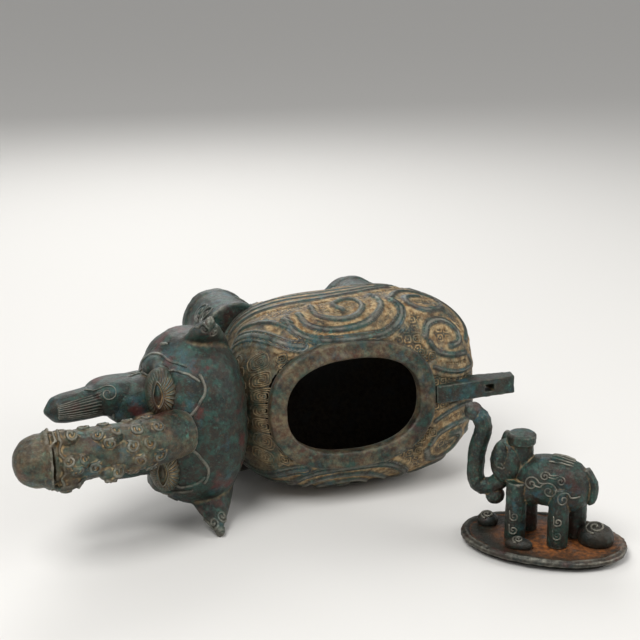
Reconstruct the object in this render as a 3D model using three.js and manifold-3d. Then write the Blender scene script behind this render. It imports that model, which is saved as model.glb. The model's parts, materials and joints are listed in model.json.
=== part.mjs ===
import * as THREE from 'three';
import { mergeVertices } from 'three/addons/utils/BufferGeometryUtils.js';
import { ConvexHull } from 'three/addons/math/ConvexHull.js';
import Module from 'manifold-3d';

// A cast bronze vessel in the form of an elephant, lying on its left side, with its lid taken off
// and stood beside it. Lengths are in millimetres. The vessel is built with the elephant on its
// feet: X runs to the tail, Y to its right side, Z up, and the origin is the mouth's centre in the
// plane of the rim. The lid is built on the floor, with X running to its little elephant's tail.

// Gap left between a piece and what it is joined to
const seatGap = 0.3;

// Body
const bodyLength = 136;
const bodyWidth = 99;
const bodyHeight = 86;
const bodyWall = 3;
const bodySetBack = 11;
const bodyCrown = 1;
const bodySquareness = 3;

// Mouth and its rim
const mouthLength = 72;
const mouthWidth = 48;
const mouthSquareness = 2.4;
const rimWidth = 9;
const rimDepth = 7.5;

// Head and jaw
const headLength = 54;
const headWidth = 89;
const headHeight = 64;
const headWall = 3;
const neckRadius = 18;
const headSunk = 4;
const headTop = 10;
const jawLength = 28;
const jawWidth = 40;
const jawHeight = 24;
const jawDrop = 22;

// Trunk
const trunkRadius = 11.5;
const trunkLength = 46;
const trunkRise = 5.6;
const trunkRootHeight = 16;
const trunkStandOff = 5;
const muzzleLength = 16;
const muzzleRadius = 12.2;
const collarRadius = 13.4;
const bossLength = 13;
const bossWidth = 8;
const bossHeight = 9;

// Tusks
const tuskSpread = 15;
const tuskLength = 42;
const tuskRise = 19;
const tuskRootRadius = 9.5;
const tuskTipRadius = 6.5;
const tuskRootDrop = 24;

// Ears and eyes
const earReach = 53.5;
const earHeight = 8.5;
const earWidth = 30;
const earRootThickness = 14;
const earTipThickness = 4.8;
const eyeSpread = 16;
const eyeLength = 30;
const eyeWidth = 18;
const eyeThickness = 9;

// Legs
const legRadius = 17.5;
const footRadius = 18.5;
const footHeight = 6;
const legSpread = 28;
const frontLegX = -44;
const rearLegX = 36;
const soleDrop = 103;

// Tail bar
const tailWidth = 9;
const tailThickness = 9;
const tailEnd = 93;
const tailHoleLength = 6;
const tailHoleWidth = 4;
const tailSlope = 2.4;
const tailRootHeight = 24;

// Lid plate
const lidLength = 80;
const lidWidth = 54;
const lidSquareness = 2.1;
const lidThickness = 2.2;
const lidClearance = 1.3;
const flangeHeight = 2.6;
const flangeWall = 2.6;

// Little elephant on the lid
const knobLength = 36;
const knobWidth = 22;
const knobDepth = 24;
const knobBackHeight = 47;
const knobLegRadius = 4.8;
const knobLegSpread = 7;
const knobTrunkRadius = 4;
const knobTrunkTop = 64.5;
const knobHeadLength = 17;
const knobHeadWidth = 18;
const knobHeadHeight = 22;
const knobLipSize = 9;
const knobEarHeight = 14;
const knobEarThickness = 5;
const knobTailRadius = 2.4;
const postRadius = 5.6;
const postCapRadius = 6.6;
const postTop = 57;
const postCapHeight = 5;
const coilSizes = [[17, 14, 13], [13, 7, 6], [10, 9, 7]];

// How the two stand on the floor
const vesselYaw = 20;
const lidYaw = -20;
const lidFromMouth = [89.6, -46.7];

// Finish
const bronze = { color: 0x3c4a3e, roughness: 0.62, metalness: 0.7 };
const paleBronze = { color: 0x6d6d60, roughness: 0.5, metalness: 0.8 };

const wasm = await Module();
wasm.setup();

// A solid from a closed three.js geometry
function solidOf(geometry) {
  const bare = geometry.clone();
  bare.deleteAttribute('normal');
  bare.deleteAttribute('uv');
  const merged = mergeVertices(bare, 1e-4);
  const corners = merged.index.array;
  const kept = [];
  for (let i = 0; i < corners.length; i += 3) {
    const [a, b, c] = [corners[i], corners[i + 1], corners[i + 2]];
    if (a !== b && b !== c && c !== a) kept.push(a, b, c);
  }
  return new wasm.Manifold(new wasm.Mesh({
    numProp: 3,
    vertProperties: new Float32Array(merged.attributes.position.array),
    triVerts: new Uint32Array(kept),
  }));
}

// A three.js geometry from a solid
function geometryOf(solid) {
  const mesh = solid.getMesh();
  const geometry = new THREE.BufferGeometry();
  geometry.setAttribute('position', new THREE.BufferAttribute(mesh.vertProperties, 3));
  geometry.setIndex(new THREE.BufferAttribute(mesh.triVerts, 1));
  geometry.computeVertexNormals();
  return geometry;
}

function signedPower(value, power) {
  return Math.sign(value) * Math.abs(value) ** power;
}

// A ball pushed out towards its box: power 2 is an ellipsoid, more is squarer
function swelling(centre, size, power, segments, grow = 0) {
  const geometry = new THREE.SphereGeometry(1, segments, segments / 2);
  const position = geometry.attributes.position;
  const point = new THREE.Vector3();
  for (let i = 0; i < position.count; i += 1) {
    point.fromBufferAttribute(position, i);
    const sum = Math.abs(point.x) ** power + Math.abs(point.y) ** power + Math.abs(point.z) ** power;
    point.multiplyScalar(sum ** (-1 / power));
    position.setXYZ(
      i,
      centre[0] + point.x * (size[0] / 2 + grow),
      centre[1] + point.y * (size[1] / 2 + grow),
      centre[2] + point.z * (size[2] / 2 + grow),
    );
  }
  return solidOf(geometry);
}

// An upright oval block
function ovalBlock(length, width, power, low, high, segments = 48) {
  const outline = [];
  for (let i = 0; i < segments; i += 1) {
    const angle = (2 * Math.PI * i) / segments;
    const x = (length / 2) * signedPower(Math.cos(angle), 2 / power);
    const y = (width / 2) * signedPower(Math.sin(angle), 2 / power);
    outline.push(new THREE.Vector2(x, y));
  }
  const geometry = new THREE.ExtrudeGeometry(new THREE.Shape(outline), {
    depth: high - low,
    bevelEnabled: false,
  });
  geometry.translate(0, 0, low);
  return solidOf(geometry);
}

// A limb along a smooth line: halfAt gives its half sizes across and along the side direction
function limb(points, halfAt, side, segments, steps) {
  const curve = new THREE.CatmullRomCurve3(points.map((p) => new THREE.Vector3(...p)));
  const geometry = new THREE.CylinderGeometry(1, 1, 1, segments, steps);
  const position = geometry.attributes.position;
  const along = new THREE.Vector3(...side);
  for (let i = 0; i < position.count; i += 1) {
    const t = THREE.MathUtils.clamp(position.getY(i) + 0.5, 0, 1);
    const tangent = curve.getTangentAt(t);
    const across = tangent.clone().cross(along).normalize();
    const [acrossHalf, sideHalf] = halfAt(t);
    const point = curve.getPointAt(t);
    point.addScaledVector(across, position.getX(i) * acrossHalf);
    point.addScaledVector(along, position.getZ(i) * sideHalf);
    position.setXYZ(i, point.x, point.y, point.z);
  }
  return solidOf(geometry);
}

// Radius that runs from root to tip and then closes in a round end over the last part of the limb
function roundEnded(root, tip, endShare) {
  return (t) => {
    const taper = root + (tip - root) * t;
    const into = Math.max(0, (t - 1 + endShare) / endShare);
    const radius = taper * Math.max(0.12, Math.sqrt(1 - into * into));
    return [radius, radius];
  };
}

// Body shell, open at the mouth
const bodySize = [bodyLength, bodyWidth, bodyHeight];
const bodyCentre = [bodySetBack, 0, -bodyCrown - bodyHeight / 2];
const bodyForm = (grow) => swelling(bodyCentre, bodySize, bodySquareness, 40, grow);
const rimLength = mouthLength + 2 * rimWidth;
const rimBreadth = mouthWidth + 2 * rimWidth;

function bodyShell() {
  const inner = swelling(bodyCentre, bodySize, bodySquareness, 32, -bodyWall);
  const seat = ovalBlock(
    rimLength + 2 * seatGap,
    rimBreadth + 2 * seatGap,
    mouthSquareness,
    -rimDepth - bodyHeight / 4,
    rimDepth,
  );
  return bodyForm(0).subtract(inner).subtract(seat);
}

function rimForm(grow) {
  return ovalBlock(rimLength + 2 * grow, rimBreadth + 2 * grow, mouthSquareness, -rimDepth - grow, grow);
}

function mouthRim() {
  const mouth = ovalBlock(mouthLength, mouthWidth, mouthSquareness, -2 * rimDepth, rimDepth);
  return rimForm(0).subtract(mouth);
}

// Head, hollow behind the brow, and the jaw under it
const headSize = [headLength, headWidth, headHeight];
const headBack = bodySetBack - bodyLength / 2 + headSunk;
const headFront = headBack - headLength;
const headCentre = [headBack - headLength / 2, 0, headTop - headHeight / 2];
const headForm = (grow) => swelling(headCentre, headSize, 2.3, 32, grow);

function headShell() {
  const inner = swelling(headCentre, headSize, 2.3, 24, -headWall);
  const neckLine = [headCentre, [headBack + headLength / 2, 0, headCentre[2] - neckRadius / 3]];
  const neck = limb(neckLine, () => [neckRadius, neckRadius], [0, 1, 0], 20, 1);
  return headForm(0).subtract(inner).subtract(neck).subtract(bodyForm(seatGap));
}

const jawForm = (grow) => swelling(
  [headFront + jawLength / 2, 0, headCentre[2] - jawDrop],
  [jawLength, jawWidth, jawHeight],
  2.2,
  20,
  grow,
);

function lowerJaw() {
  return jawForm(0).subtract(headForm(seatGap)).subtract(bodyForm(seatGap));
}

// Trunk: a straight tube out of the brow, and a beast's muzzle with a collar at its end
const trunkRootX = headFront - trunkStandOff;
const trunkRootZ = trunkRootHeight;
const trunkEndX = trunkRootX - trunkLength;
const trunkEndZ = trunkRootZ + trunkRise;
const trunkLine = [
  [headFront + headLength * 0.28, 0, trunkRootZ - trunkRadius],
  [trunkRootX, 0, trunkRootZ],
  [trunkRootX - trunkLength / 2, 0, trunkRootZ + trunkRise * 0.45],
  [trunkEndX, 0, trunkEndZ],
];
const trunkForm = (grow) => limb(
  trunkLine,
  () => [trunkRadius + grow, trunkRadius + grow],
  [0, 1, 0],
  20,
  10,
);

function trunkTube() {
  return trunkForm(0).subtract(headForm(seatGap));
}

function trunkMuzzle() {
  const start = trunkEndX;
  const half = (t) => {
    if (t < 0.16) return [collarRadius, collarRadius];
    const dome = (t - 0.16) / 0.84;
    const radius = muzzleRadius * Math.max(0.1, Math.sqrt(1 - dome ** 2.4));
    return [radius, radius];
  };
  const line = [
    [start, 0, trunkEndZ],
    [start - muzzleLength / 2, 0, trunkEndZ - muzzleLength * 0.04],
    [start - muzzleLength, 0, trunkEndZ - muzzleLength * 0.15],
  ];
  return limb(line, half, [0, 1, 0], 20, 12).subtract(trunkForm(seatGap));
}

// Brow and knobs of the beast, let into the trunk
function trunkBoss([fromEnd, y, rise]) {
  const fall = (fromEnd * trunkRise) / trunkLength;
  const centre = [trunkEndX + fromEnd, y, trunkEndZ - fall + rise];
  const size = [bossLength, bossWidth, bossHeight];
  return swelling(centre, size, 2, 14).subtract(trunkForm(seatGap));
}

const browPlace = trunkLength * 0.15;
const haunchPlace = trunkLength * 0.59;
const bosses = {
  trunk_crown: [trunkLength * 0.2, 0, trunkRadius],
  trunk_brow_right: [browPlace, trunkRadius * 0.87, trunkRadius * 0.43],
  trunk_brow_left: [browPlace, -trunkRadius * 0.87, trunkRadius * 0.43],
  trunk_knob_right: [haunchPlace, trunkRadius * 0.7, trunkRadius * 0.65],
  trunk_knob_left: [haunchPlace, -trunkRadius * 0.7, trunkRadius * 0.65],
};

// Tusks, each beside and under the trunk
function tuskForm(side, grow) {
  const y = side * tuskSpread;
  const rootX = headFront - tuskLength / 7;
  const rootZ = -tuskRootDrop;
  const taper = roundEnded(tuskRootRadius + grow, tuskTipRadius + grow, 0.16);
  const line = [
    [rootX + tuskLength / 3, y, rootZ - tuskRise / 6],
    [rootX, y, rootZ],
    [rootX - tuskLength / 2, y, rootZ + tuskRise * 0.63],
    [rootX - tuskLength, y, rootZ + tuskRise],
  ];
  return limb(line, taper, [0, 1, 0], 16, 12);
}

function tusk(side) {
  return tuskForm(side, 0).subtract(headForm(seatGap)).subtract(jawForm(seatGap));
}

// Ears: flaps that stand out and up from the sides of the head
function ear(side) {
  const half = (t) => [
    (earRootThickness + (earTipThickness - earRootThickness) * t) / 2,
    (earWidth / 2) * Math.max(0.12, 1 - t ** 1.35),
  ];
  const line = [
    [headCentre[0] + earWidth * 0.2, side * headWidth * 0.34, earHeight - earWidth * 0.95],
    [headCentre[0] + earWidth * 0.17, side * headWidth / 2, earHeight - earWidth * 0.48],
    [headCentre[0] + earWidth * 0.13, side * earReach, earHeight],
  ];
  const form = limb(line, half, [1, 0, 0], 16, 8);
  return form.subtract(headForm(seatGap)).subtract(bodyForm(seatGap));
}

// Eyes: shell shaped pads laid on the brow
function eye(side) {
  const centre = [headFront + eyeWidth / 2, side * eyeSpread, headTop - headHeight * 0.12];
  const form = swelling(centre, [eyeWidth, eyeLength, eyeThickness], 2, 18);
  return form.subtract(headForm(seatGap)).subtract(trunkForm(seatGap));
}

// Legs: short round posts with a flat sole
function leg(x, side) {
  const top = bodyHeight * 0.68;
  const profile = [
    [0, -soleDrop],
    [footRadius * 0.96, -soleDrop],
    [footRadius, -soleDrop + footHeight / 6],
    [footRadius, -soleDrop + footHeight],
    [legRadius, -soleDrop + footHeight * 1.3],
    [legRadius, -top - legRadius * 0.7],
    [footRadius, -top],
    [0, -top],
  ];
  const geometry = new THREE.LatheGeometry(profile.map((p) => new THREE.Vector2(...p)), 28);
  geometry.rotateX(Math.PI / 2);
  geometry.translate(x, side * legSpread, 0);
  return solidOf(geometry).subtract(bodyForm(seatGap));
}

// Tail: a square bar over the rump, pierced close to the body
function tailBar() {
  const root = rimLength / 2 + seatGap;
  const outline = [
    [root, -seatGap],
    [tailEnd - tailSlope, -tailSlope - seatGap],
    [tailEnd, -tailSlope - tailThickness],
    [tailEnd - 2.4 * tailThickness, -2 * tailSlope - tailThickness],
    [root + 2.4 * tailThickness, -tailRootHeight - tailSlope],
    [root, -tailRootHeight],
  ];
  const geometry = new THREE.ExtrudeGeometry(
    new THREE.Shape(outline.map((p) => new THREE.Vector2(...p))),
    { depth: tailWidth, bevelEnabled: false },
  );
  geometry.rotateX(Math.PI / 2);
  geometry.translate(0, tailWidth / 2, 0);
  const hole = new THREE.BoxGeometry(tailHoleLength, tailHoleWidth, bodyHeight);
  hole.translate(tailEnd - 1.9 * tailThickness, 0, 0);
  return solidOf(geometry).subtract(solidOf(hole)).subtract(bodyForm(seatGap));
}

// Lid: an oval plate with a ring under it that drops into the mouth
const plateLow = flangeHeight + seatGap;
const plateTop = plateLow + lidThickness;

function lidFlange() {
  const length = mouthLength - 2 * lidClearance;
  const width = mouthWidth - 2 * lidClearance;
  const outer = ovalBlock(length, width, mouthSquareness, 0, flangeHeight);
  const inner = ovalBlock(
    length - 2 * flangeWall,
    width - 2 * flangeWall,
    mouthSquareness,
    -flangeHeight,
    2 * flangeHeight,
  );
  return outer.subtract(inner);
}

function lidPlate() {
  return ovalBlock(lidLength, lidWidth, lidSquareness, plateLow, plateTop);
}

const floorBlock = () => ovalBlock(2 * lidLength, 2 * lidWidth, 2, -lidWidth, plateTop + seatGap, 12);

// Little elephant that serves as the lid's knob
const knobCentre = [knobLength / 12, 0, knobBackHeight - knobDepth / 2];
const knobFront = knobCentre[0] - knobLength / 2;
const knobBack = knobCentre[0] + knobLength / 2;
const knobForm = (grow) => swelling(knobCentre, [knobLength, knobWidth, knobDepth], 2.3, 24, grow);
const knobHeadCentre = [knobFront - knobHeadLength * 0.2, 0, knobBackHeight - knobHeadHeight * 0.23];
const knobHeadSize = [knobHeadLength, knobHeadWidth, knobHeadHeight];
const knobHeadForm = (grow) => swelling(knobHeadCentre, knobHeadSize, 2.1, 18, grow);

function knobHead() {
  return knobHeadForm(0).subtract(knobForm(seatGap));
}

const knobFace = knobHeadCentre[0] - knobHeadLength / 2;
const knobChin = knobHeadCentre[2] - knobHeadHeight / 2;
const knobTrunkForm = (grow) => limb(
  [
    [knobHeadCentre[0], 0, knobChin + knobTrunkRadius],
    [knobFace, 0, knobChin - 0.8 * knobTrunkRadius],
    [knobFace - 1.5 * knobTrunkRadius, 0, knobChin - 0.7 * knobTrunkRadius],
    [knobFace - 1.8 * knobTrunkRadius, 0, (knobChin + knobTrunkTop) / 2 - knobTrunkRadius],
    [knobFace - 1.1 * knobTrunkRadius, 0, knobTrunkTop - 1.5 * knobTrunkRadius],
    [knobFace - 2 * knobTrunkRadius, 0, knobTrunkTop],
    [knobFace - 3.2 * knobTrunkRadius, 0, knobTrunkTop],
  ],
  (t) => {
    const radius = (knobTrunkRadius + grow) * (t > 0.9 ? 0.85 : 1);
    return [radius, radius];
  },
  [0, 1, 0],
  12,
  24,
);

function knobTrunk() {
  return knobTrunkForm(0).subtract(knobHeadForm(seatGap)).subtract(knobForm(seatGap));
}

function knobLip() {
  const centre = [knobFace + knobLipSize * 0.28, 0, knobChin - knobLipSize * 0.83];
  const form = swelling(centre, [knobLipSize, knobLipSize * 0.9, knobLipSize], 2, 14);
  return form.subtract(knobTrunkForm(seatGap)).subtract(knobHeadForm(seatGap));
}

function postForm(grow) {
  const foot = knobBackHeight - knobDepth / 3;
  const profile = [
    [0, foot],
    [postRadius + grow, foot],
    [postRadius + grow, postTop - postCapHeight],
    [postCapRadius + grow, postTop - postCapHeight * 0.88],
    [postCapRadius + grow, postTop - postCapHeight * 0.16],
    [postCapRadius * 0.88 + grow, postTop],
    [0, postTop],
  ];
  const geometry = new THREE.LatheGeometry(profile.map((p) => new THREE.Vector2(...p)), 20);
  geometry.rotateX(Math.PI / 2);
  geometry.translate(knobFront + 0.45 * postRadius, 0, 0);
  return solidOf(geometry);
}

function knobPost() {
  return postForm(0).subtract(knobForm(seatGap)).subtract(knobHeadForm(seatGap));
}

function knobEar(side) {
  const centre = [
    knobHeadCentre[0] - knobHeadLength * 0.15,
    side * knobHeadWidth * 0.42,
    knobHeadCentre[2] + knobHeadHeight / 4,
  ];
  const size = [knobEarThickness * 1.2, knobEarThickness, knobEarHeight];
  const form = swelling(centre, size, 2, 14);
  return form.subtract(knobHeadForm(seatGap)).subtract(postForm(seatGap));
}

const knobLegs = {
  knob_front_left_leg: [knobFront + knobLength * 0.07, -1],
  knob_front_right_leg: [knobFront + knobLength * 0.15, 1],
  knob_rear_left_leg: [knobBack - knobLength * 0.36, -1],
  knob_rear_right_leg: [knobBack - knobLength * 0.19, 1],
};

function knobLegForm([x, side], grow) {
  const low = plateTop + seatGap - grow;
  const height = knobBackHeight - knobDepth / 2 - low;
  const radius = knobLegRadius + grow;
  const geometry = new THREE.CylinderGeometry(radius, radius, height, 16);
  geometry.rotateX(Math.PI / 2);
  geometry.translate(x, side * knobLegSpread, low + height / 2);
  return solidOf(geometry);
}

function knobTail() {
  const belly = knobBackHeight - knobDepth;
  const line = [
    [knobBack - 1.2 * knobTailRadius, 0, belly + knobDepth * 0.8],
    [knobBack + 0.5 * knobTailRadius, 0, belly + knobDepth * 0.55],
    [knobBack + 0.6 * knobTailRadius, 0, belly + knobDepth * 0.3],
    [knobBack, 0, belly + knobDepth * 0.08],
  ];
  const form = limb(line, roundEnded(knobTailRadius, knobTailRadius * 0.9, 0.2), [0, 1, 0], 10, 8);
  return form.subtract(knobForm(seatGap));
}

const coils = {
  lid_rear_coil: [[lidLength * 0.31, lidWidth * 0.04, plateTop + coilSizes[0][2] * 0.22], coilSizes[0]],
  lid_front_coil: [[-lidLength * 0.11, -lidWidth * 0.28, plateTop + coilSizes[1][2] * 0.22], coilSizes[1]],
  lid_left_coil: [[-lidLength * 0.36, lidWidth * 0.11, plateTop + coilSizes[2][2] * 0.25], coilSizes[2]],
};

function lidCoil([centre, size]) {
  const form = swelling(centre, size, 2.2, 16).subtract(floorBlock());
  return Object.values(knobLegs).reduce(
    (rest, place) => rest.subtract(knobLegForm(place, seatGap)),
    form,
  );
}

// A named mesh with its own material
function piece(name, solid, finish) {
  const mesh = new THREE.Mesh(geometryOf(solid), new THREE.MeshStandardMaterial(finish));
  mesh.name = name;
  return mesh;
}

function vesselPieces() {
  const pieces = {
    body_shell: bodyShell(),
    mouth_rim: mouthRim(),
    head_shell: headShell(),
    lower_jaw: lowerJaw(),
    trunk_tube: trunkTube(),
    trunk_muzzle: trunkMuzzle(),
    tail_bar: tailBar(),
  };
  for (const [name, place] of Object.entries(bosses)) pieces[name] = trunkBoss(place);
  for (const [word, side] of [['right', 1], ['left', -1]]) {
    pieces[`${word}_ear`] = ear(side);
    pieces[`${word}_eye`] = eye(side);
    pieces[`${word}_tusk`] = tusk(side);
    pieces[`front_${word}_leg`] = leg(frontLegX, side);
    pieces[`rear_${word}_leg`] = leg(rearLegX, side);
  }
  return pieces;
}

function lidPieces() {
  const pieces = {
    lid_flange: lidFlange(),
    lid_plate: lidPlate(),
    knob_body: knobForm(0),
    knob_head: knobHead(),
    knob_trunk: knobTrunk(),
    knob_lip: knobLip(),
    knob_post: knobPost(),
    knob_right_ear: knobEar(1),
    knob_left_ear: knobEar(-1),
    knob_tail: knobTail(),
  };
  for (const [name, place] of Object.entries(knobLegs)) {
    pieces[name] = knobLegForm(place, 0).subtract(knobForm(seatGap)).subtract(knobHeadForm(seatGap));
  }
  for (const [name, form] of Object.entries(coils)) pieces[name] = lidCoil(form);
  return pieces;
}

function groupOf(pieces, finish) {
  const group = new THREE.Group();
  for (const [name, solid] of Object.entries(pieces)) group.add(piece(name, solid, finish));
  return group;
}

// Corner points of every piece in a group, in the group's own frame
function cornersOf(group) {
  const points = [];
  for (const mesh of group.children) {
    const position = mesh.geometry.attributes.position;
    for (let i = 0; i < position.count; i += 1) {
      points.push(new THREE.Vector3().fromBufferAttribute(position, i));
    }
  }
  return points;
}

// Centre of mass of the pieces, all of one metal
function centreOfMass(group) {
  const sum = new THREE.Vector3();
  let volume = 0;
  for (const mesh of group.children) {
    const { attributes, index } = mesh.geometry;
    for (let i = 0; i < index.count; i += 3) {
      const [a, b, c] = [0, 1, 2].map((k) => (
        new THREE.Vector3().fromBufferAttribute(attributes.position, index.getX(i + k))
      ));
      const part = a.dot(b.clone().cross(c)) / 6;
      sum.addScaledVector(a.add(b).add(c), part / 4);
      volume += part;
    }
  }
  return sum.divideScalar(volume);
}

// Direction that points down when the pieces have come to rest, starting from a first guess: the
// face of their hull under the centre of mass is followed until it is square to its own normal
function restingDown(group, firstGuess) {
  const hull = new ConvexHull().setFromPoints(cornersOf(group));
  const centre = centreOfMass(group);
  let down = firstGuess.clone();
  for (let step = 0; step < 50; step += 1) {
    let nearest = Infinity;
    let next = down;
    for (const face of hull.faces) {
      const facing = face.normal.dot(down);
      const reach = (face.constant - face.normal.dot(centre)) / facing;
      if (facing > 1e-6 && reach < nearest) {
        nearest = reach;
        next = face.normal;
      }
    }
    if (next.angleTo(down) < 1e-5) break;
    down = next.clone();
  }
  return down;
}

// The vessel lies on its left side, head to the left, turned a little towards the viewer
function layVessel(vessel) {
  const down = restingDown(vessel, new THREE.Vector3(0, -1, 0));
  const lay = new THREE.Quaternion().setFromUnitVectors(down, new THREE.Vector3(0, 0, -1));
  const yaw = new THREE.Quaternion().setFromAxisAngle(
    new THREE.Vector3(0, 0, 1),
    THREE.MathUtils.degToRad(vesselYaw),
  );
  vessel.quaternion.copy(yaw.multiply(lay));
  vessel.updateMatrixWorld(true);
  vessel.position.z = -new THREE.Box3().setFromObject(vessel, true).min.z;
}

const vessel = groupOf(vesselPieces(), bronze);
vessel.name = 'vessel';
layVessel(vessel);

const lid = groupOf(lidPieces(), paleBronze);
lid.name = 'lid';
lid.rotation.z = THREE.MathUtils.degToRad(lidYaw);
lid.position.set(lidFromMouth[0], lidFromMouth[1], 0);

// Origin at the middle of the footprint, on the floor
const burner = new THREE.Group();
burner.add(vessel, lid);
burner.updateMatrixWorld(true);
const whole = new THREE.Box3().setFromObject(burner, true);
const middle = whole.getCenter(new THREE.Vector3());
burner.position.set(-middle.x, -middle.y, -whole.min.z);

export default burner;
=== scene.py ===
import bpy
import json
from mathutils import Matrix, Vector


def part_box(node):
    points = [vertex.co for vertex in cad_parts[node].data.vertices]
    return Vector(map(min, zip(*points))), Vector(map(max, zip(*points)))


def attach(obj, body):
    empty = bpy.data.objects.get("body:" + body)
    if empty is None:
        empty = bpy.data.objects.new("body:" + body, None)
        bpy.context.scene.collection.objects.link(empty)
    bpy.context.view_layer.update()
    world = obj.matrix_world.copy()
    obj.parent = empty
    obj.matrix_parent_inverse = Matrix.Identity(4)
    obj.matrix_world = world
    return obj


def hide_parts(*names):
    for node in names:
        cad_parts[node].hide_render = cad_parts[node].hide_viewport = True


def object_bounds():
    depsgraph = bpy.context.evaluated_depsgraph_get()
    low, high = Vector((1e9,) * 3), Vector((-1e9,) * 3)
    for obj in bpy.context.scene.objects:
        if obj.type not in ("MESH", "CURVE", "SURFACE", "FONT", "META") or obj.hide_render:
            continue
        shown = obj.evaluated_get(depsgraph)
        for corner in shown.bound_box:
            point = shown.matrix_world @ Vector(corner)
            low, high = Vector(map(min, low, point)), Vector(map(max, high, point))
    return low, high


bl_info = {
    "name": "Elephant Incense Burner",
    "version": (1, 0, 0),
    "blender": (4, 5, 0),
    "location": "3D View > Sidebar > Burner",
    "description": "Models and finishes a cast bronze elephant vessel and its lid",
    "category": "Object",
}

import json
import math

import bmesh
import bpy
import numpy as np
from mathutils import Matrix, Vector
from mathutils.bvhtree import BVHTree

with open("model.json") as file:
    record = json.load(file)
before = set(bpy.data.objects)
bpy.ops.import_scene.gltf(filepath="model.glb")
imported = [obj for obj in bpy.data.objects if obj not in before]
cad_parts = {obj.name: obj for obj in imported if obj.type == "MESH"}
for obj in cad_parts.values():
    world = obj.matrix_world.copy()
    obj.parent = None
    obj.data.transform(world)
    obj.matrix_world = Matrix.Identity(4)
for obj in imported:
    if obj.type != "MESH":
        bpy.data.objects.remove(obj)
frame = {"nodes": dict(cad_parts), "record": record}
CAD_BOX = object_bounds()

MM = 0.001

# The photograph's view of the object
PHOTO_PIXELS = 640
FIELD_OF_VIEW = math.radians(26)
CAMERA_HEIGHT = math.radians(17)
CAMERA_DISTANCE = 0.700
MOUTH_PIXEL = (356, 406)
LID_TURN = math.radians(-20)

# Height of the resting face above the floor, kept clear by worn relief
FLOOR_CLEARANCE = 0.0002


def linear(hex_colour):
    """An sRGB colour written as six hex digits, as linear RGBA."""
    parts = [int(hex_colour[i:i + 2], 16) / 255 for i in (1, 3, 5)]
    return [c / 12.92 if c <= 0.04045 else ((c + 0.055) / 1.055) ** 2.4 for c in parts] + [1.0]


# Places and boxes read from the frame

def mount(name):
    return next(m for m in frame["record"]["mounts"] if m["name"] == name)


def cad_points(node):
    mesh = frame["nodes"][node].data
    flat = np.empty(len(mesh.vertices) * 3, np.float32)
    mesh.vertices.foreach_get("co", flat)
    return flat.reshape(-1, 3).astype(float)


def vessel_place():
    """From the vessel's own millimetres, elephant on its feet and mouth at the origin, to the frame."""
    right_sole = Vector(mount("front_right_sole")["pos_m"])
    across = (right_sole - Vector(mount("front_left_sole")["pos_m"])).normalized()
    up = Vector(mount("rim_face")["axis"]).normalized()
    along = across.cross(up)
    turn = Matrix((along, across, up)).transposed()
    rim = cad_points("mouth_rim") @ np.array(turn)
    low, high = rim.min(0), rim.max(0)
    origin = turn @ Vector(((low[0] + high[0]) / 2, (low[1] + high[1]) / 2, high[2]))
    return Matrix.Translation(origin) @ turn.to_4x4() @ Matrix.Scale(MM, 4)


def lid_place():
    """From the lid's own millimetres, its plate over the origin, to the frame."""
    low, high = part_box("lid_plate")
    middle = (Vector(low) + Vector(high)) / 2
    here = Matrix.Translation((middle.x, middle.y, 0))
    return here @ Matrix.Rotation(LID_TURN, 4, "Z") @ Matrix.Scale(MM, 4)


VESSEL = vessel_place()
LID = lid_place()


def own_box(node, place):
    """Centre and half sizes of a CAD node in a body's own millimetres."""
    inverse = np.array(place.inverted())
    points = cad_points(node) @ inverse[:3, :3].T + inverse[:3, 3]
    low, high = points.min(0), points.max(0)
    return (low + high) / 2, (high - low) / 2


BODY_CENTRE, BODY_HALF = own_box("body_shell", VESSEL)
RIM_CENTRE, RIM_HALF = own_box("mouth_rim", VESSEL)
# The rim cuts the crown off the shell, so its full height is given here
BODY_CROWN = 1.0
BODY_HALF[2] = 43.0
BODY_CENTRE[2] = RIM_CENTRE[2] + RIM_HALF[2] - BODY_CROWN - BODY_HALF[2]
BODY_POWER = 3.0
BODY_WALL = 3.0
FLANK_RADIUS = 47.0
MOUTH_HALF = (36.0, 24.0)
MOUTH_POWER = 2.4


# Mesh helpers

def points_of(obj):
    flat = np.empty(len(obj.data.vertices) * 3)
    obj.data.vertices.foreach_get("co", flat)
    return flat.reshape(-1, 3)


def set_points(obj, points):
    obj.data.vertices.foreach_set("co", np.ascontiguousarray(points, dtype=float).ravel())
    obj.data.update()


def normals_of(obj):
    flat = np.empty(len(obj.data.vertices) * 3)
    obj.data.vertices.foreach_get("normal", flat)
    return flat.reshape(-1, 3)


def deselect():
    bpy.ops.object.select_all(action="DESELECT")


def pick(obj):
    deselect()
    obj.select_set(True)
    bpy.context.view_layer.objects.active = obj


def apply_modifier(obj, kind, **settings):
    pick(obj)
    modifier = obj.modifiers.new(kind, kind)
    for key, value in settings.items():
        setattr(modifier, key, value)
    bpy.ops.object.modifier_apply(modifier=modifier.name)


def swelling(name, centre, half, power, cuts):
    """A gridded cube pushed out to a rounded block: power 2 is an ellipsoid, more is squarer."""
    deselect()
    bpy.ops.mesh.primitive_cube_add(size=2)
    obj = bpy.context.object
    obj.name = name
    bpy.ops.object.mode_set(mode="EDIT")
    bpy.ops.mesh.select_all(action="SELECT")
    for count in cuts:
        bpy.ops.mesh.subdivide(number_cuts=count)
    bpy.ops.object.mode_set(mode="OBJECT")
    spread = np.tan(points_of(obj) * math.pi / 4)
    reach = (np.abs(spread) ** power).sum(1) ** (-1 / power)
    set_points(obj, np.array(centre) + spread * reach[:, None] * np.array(half))
    return obj


def object_from(name, bm):
    mesh = bpy.data.meshes.new(name)
    bm.to_mesh(mesh)
    bm.free()
    obj = bpy.data.objects.new(name, mesh)
    bpy.context.scene.collection.objects.link(obj)
    return obj


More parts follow.
